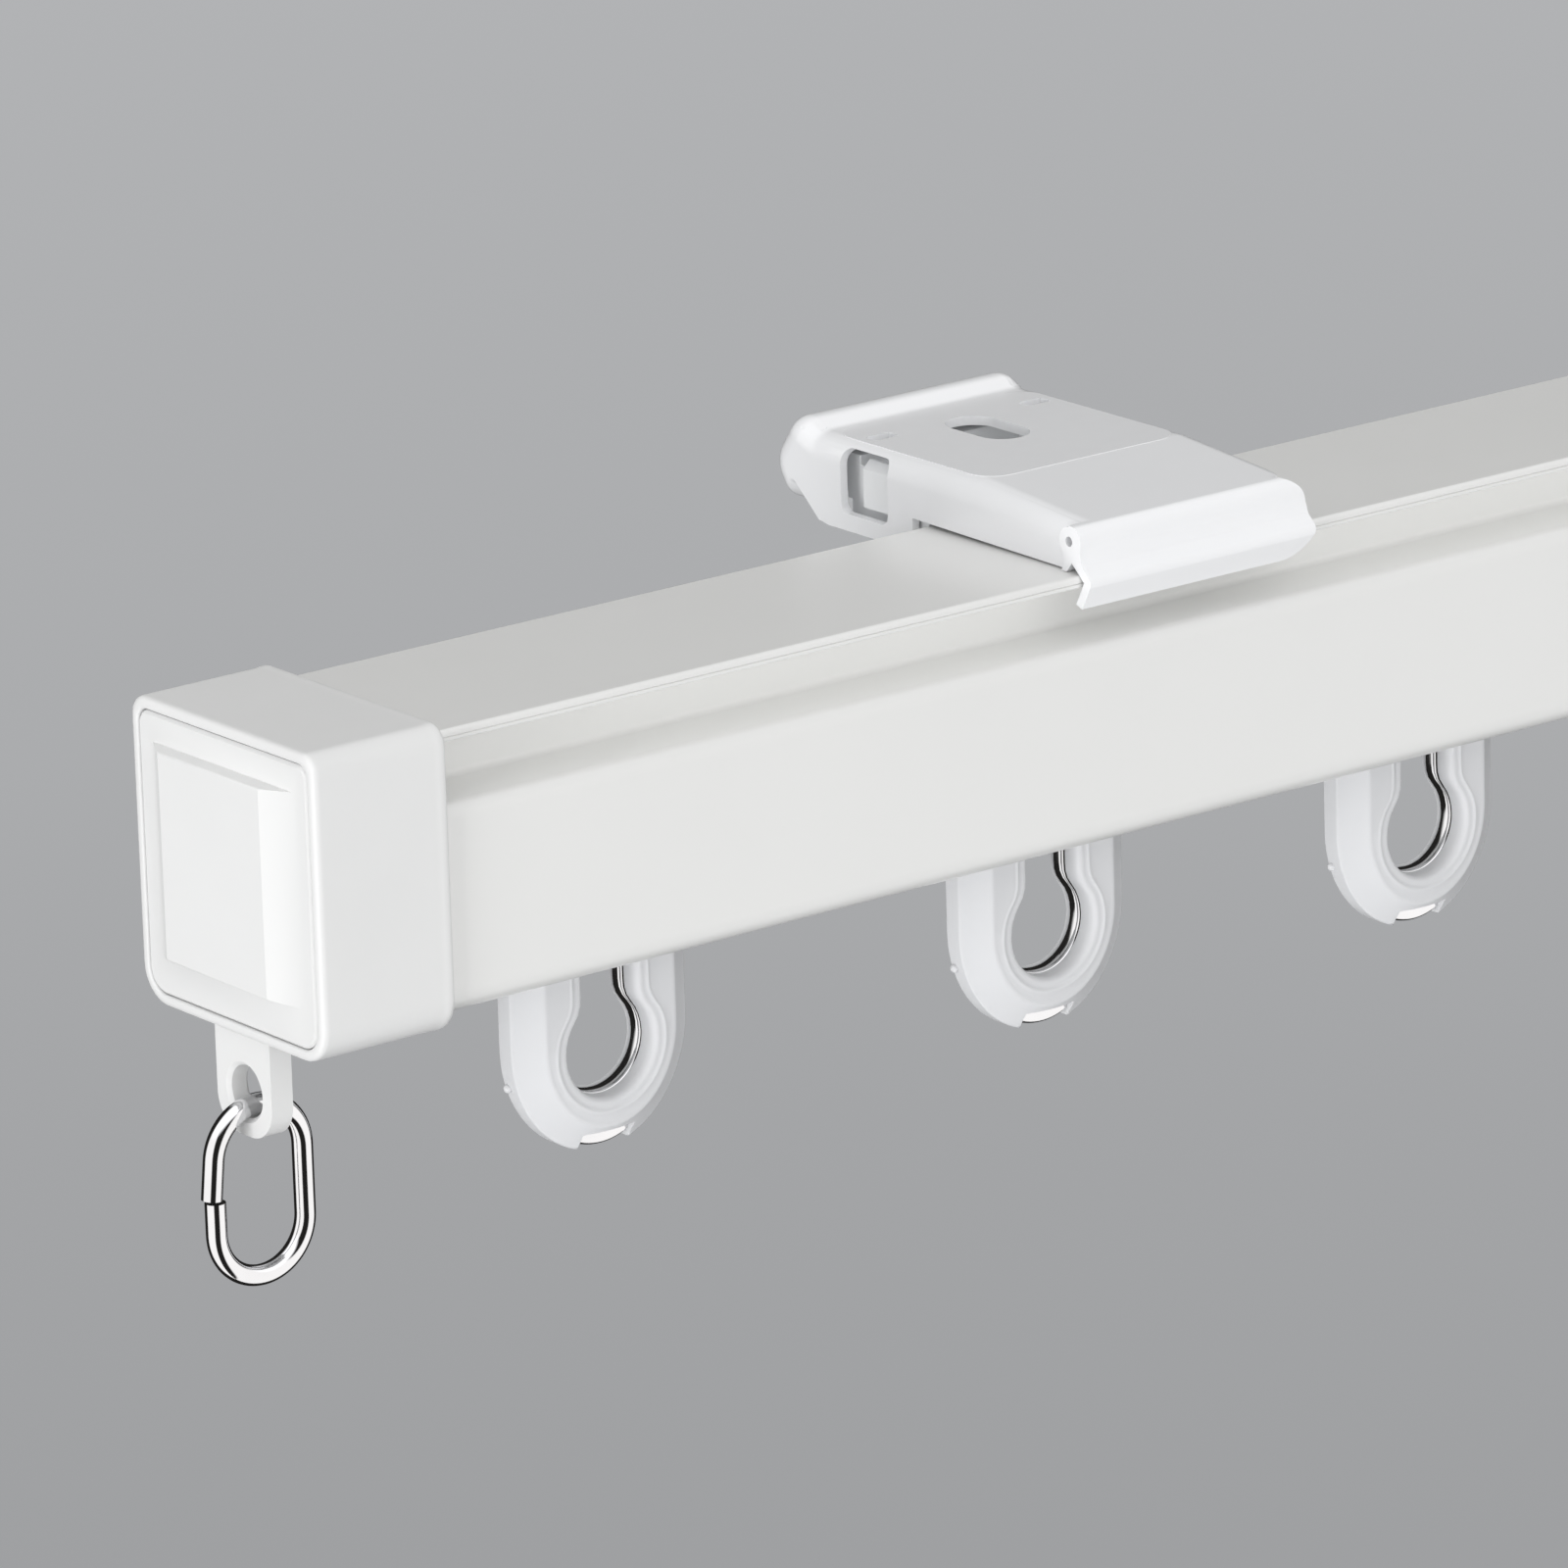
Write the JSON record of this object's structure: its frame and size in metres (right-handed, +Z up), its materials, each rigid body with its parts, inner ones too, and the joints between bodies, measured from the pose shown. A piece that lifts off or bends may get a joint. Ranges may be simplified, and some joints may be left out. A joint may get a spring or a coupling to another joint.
{
  "type": "curtain track",
  "caption": "Ceiling-mounted curtain track: slotted box rail with grooved sides, wheeled runners with steel-lined eyes, clip-on spring-latch brackets and end caps with hanging split rings",
  "frame": {"origin": "On the ceiling plane, at the centre of the left bracket's screw slot", "axes": "+X along the rail towards its right end, +Y towards the wall, away from the room, +Z up"},
  "size_m": [0.368, 0.0469, 0.0555],
  "materials": {
    "rail_paint": "white baked paint, semi-gloss",
    "end_plastic": "white moulded plastic, satin",
    "bracket_paint": "white baked paint, glossy",
    "latch_plastic": "light grey moulded plastic",
    "runner_plastic": "natural white moulded plastic, slightly translucent",
    "polished_steel": "polished stainless steel",
    "plain_steel": "plain steel"
  },
  "bodies": {
    "track": {"rail": "rail_paint", "left_sleeve": "end_plastic", "left_end_stop": "end_plastic", "left_cap_screw": "plain_steel", "left_bracket": "bracket_paint", "left_latch_spring": "plain_steel", "right_sleeve": "end_plastic", "right_end_stop": "end_plastic", "right_cap_screw": "plain_steel", "right_bracket": "bracket_paint", "right_latch_spring": "plain_steel"},
    "left_latch_body": {"left_latch": "latch_plastic"},
    "left_ring_body": {"left_split_ring": "polished_steel"},
    "right_latch_body": {"right_latch": "latch_plastic"},
    "right_ring_body": {"right_split_ring": "polished_steel"},
    "runner_1_body": {"runner_1": "runner_plastic", "runner_1_core": "polished_steel"},
    "runner_1_wheelset": {"runner_1_axle": "plain_steel", "runner_1_wheel_front": "runner_plastic", "runner_1_wheel_back": "runner_plastic"},
    "runner_2_body": {"runner_2": "runner_plastic", "runner_2_core": "polished_steel"},
    "runner_2_wheelset": {"runner_2_axle": "plain_steel", "runner_2_wheel_front": "runner_plastic", "runner_2_wheel_back": "runner_plastic"},
    "runner_3_body": {"runner_3": "runner_plastic", "runner_3_core": "polished_steel"},
    "runner_3_wheelset": {"runner_3_axle": "plain_steel", "runner_3_wheel_front": "runner_plastic", "runner_3_wheel_back": "runner_plastic"},
    "runner_4_body": {"runner_4": "runner_plastic", "runner_4_core": "polished_steel"},
    "runner_4_wheelset": {"runner_4_axle": "plain_steel", "runner_4_wheel_front": "runner_plastic", "runner_4_wheel_back": "runner_plastic"},
    "runner_5_body": {"runner_5": "runner_plastic", "runner_5_core": "polished_steel"},
    "runner_5_wheelset": {"runner_5_axle": "plain_steel", "runner_5_wheel_front": "runner_plastic", "runner_5_wheel_back": "runner_plastic"},
    "runner_6_body": {"runner_6": "runner_plastic", "runner_6_core": "polished_steel"},
    "runner_6_wheelset": {"runner_6_axle": "plain_steel", "runner_6_wheel_front": "runner_plastic", "runner_6_wheel_back": "runner_plastic"},
    "runner_7_body": {"runner_7": "runner_plastic", "runner_7_core": "polished_steel"},
    "runner_7_wheelset": {"runner_7_axle": "plain_steel", "runner_7_wheel_front": "runner_plastic", "runner_7_wheel_back": "runner_plastic"}
  },
  "joints": [
    {"name": "left_latch_slide", "type": "slide", "parent": "track", "child": "left_latch_body", "axis": [0, 1, 0], "range_m": [0, 0.003], "stiffness_N_per_m": 600, "springref_m": -0.002, "deforming": ["left_latch_spring"]},
    {"name": "left_ring_swing", "type": "hinge", "parent": "track", "child": "left_ring_body", "pos_m": [-0.0956, -0.01785, -0.03843], "axis": [1, 0, 0], "range_deg": [-80, 80]},
    {"name": "right_latch_slide", "type": "slide", "parent": "track", "child": "right_latch_body", "axis": [0, 1, 0], "range_m": [0, 0.003], "stiffness_N_per_m": 600, "springref_m": -0.002, "deforming": ["right_latch_spring"]},
    {"name": "right_ring_swing", "type": "hinge", "parent": "track", "child": "right_ring_body", "pos_m": [0.2606, -0.01785, -0.03843], "axis": [1, 0, 0], "range_deg": [-80, 80]},
    {"name": "runner_1_slide", "type": "slide", "parent": "track", "child": "runner_1_body", "axis": [1, 0, 0], "range_m": [-0.0125, 0.0125]},
    {"name": "runner_1_roll", "type": "hinge", "parent": "runner_1_body", "child": "runner_1_wheelset", "pos_m": [-0.0592, -0.01785, -0.02597], "axis": [0, 1, 0], "range_deg": [-175, 175]},
    {"name": "runner_2_slide", "type": "slide", "parent": "track", "child": "runner_2_body", "axis": [1, 0, 0], "range_m": [-0.0125, 0.0125]},
    {"name": "runner_2_roll", "type": "hinge", "parent": "runner_2_body", "child": "runner_2_wheelset", "pos_m": [-0.0094, -0.01785, -0.02597], "axis": [0, 1, 0], "range_deg": [-175, 175]},
    {"name": "runner_3_slide", "type": "slide", "parent": "track", "child": "runner_3_body", "axis": [1, 0, 0], "range_m": [-0.0125, 0.0125]},
    {"name": "runner_3_roll", "type": "hinge", "parent": "runner_3_body", "child": "runner_3_wheelset", "pos_m": [0.0353, -0.01785, -0.02597], "axis": [0, 1, 0], "range_deg": [-175, 175]},
    {"name": "runner_4_slide", "type": "slide", "parent": "track", "child": "runner_4_body", "axis": [1, 0, 0], "range_m": [-0.0125, 0.0125]},
    {"name": "runner_4_roll", "type": "hinge", "parent": "runner_4_body", "child": "runner_4_wheelset", "pos_m": [0.0825, -0.01785, -0.02597], "axis": [0, 1, 0], "range_deg": [-175, 175]},
    {"name": "runner_5_slide", "type": "slide", "parent": "track", "child": "runner_5_body", "axis": [1, 0, 0], "range_m": [-0.0125, 0.0125]},
    {"name": "runner_5_roll", "type": "hinge", "parent": "runner_5_body", "child": "runner_5_wheelset", "pos_m": [0.1297, -0.01785, -0.02597], "axis": [0, 1, 0], "range_deg": [-175, 175]},
    {"name": "runner_6_slide", "type": "slide", "parent": "track", "child": "runner_6_body", "axis": [1, 0, 0], "range_m": [-0.0125, 0.0125]},
    {"name": "runner_6_roll", "type": "hinge", "parent": "runner_6_body", "child": "runner_6_wheelset", "pos_m": [0.1769, -0.01785, -0.02597], "axis": [0, 1, 0], "range_deg": [-175, 175]},
    {"name": "runner_7_slide", "type": "slide", "parent": "track", "child": "runner_7_body", "axis": [1, 0, 0], "range_m": [-0.0125, 0.0125]},
    {"name": "runner_7_roll", "type": "hinge", "parent": "runner_7_body", "child": "runner_7_wheelset", "pos_m": [0.2241, -0.01785, -0.02597], "axis": [0, 1, 0], "range_deg": [-175, 175]}
  ],
  "couplings": [
    {"joint": "runner_1_roll", "follows": "runner_1_slide", "rad_per_m": 238.1},
    {"joint": "runner_2_roll", "follows": "runner_2_slide", "rad_per_m": 238.1},
    {"joint": "runner_3_roll", "follows": "runner_3_slide", "rad_per_m": 238.1},
    {"joint": "runner_4_roll", "follows": "runner_4_slide", "rad_per_m": 238.1},
    {"joint": "runner_5_roll", "follows": "runner_5_slide", "rad_per_m": 238.1},
    {"joint": "runner_6_roll", "follows": "runner_6_slide", "rad_per_m": 238.1},
    {"joint": "runner_7_roll", "follows": "runner_7_slide", "rad_per_m": 238.1}
  ]
}
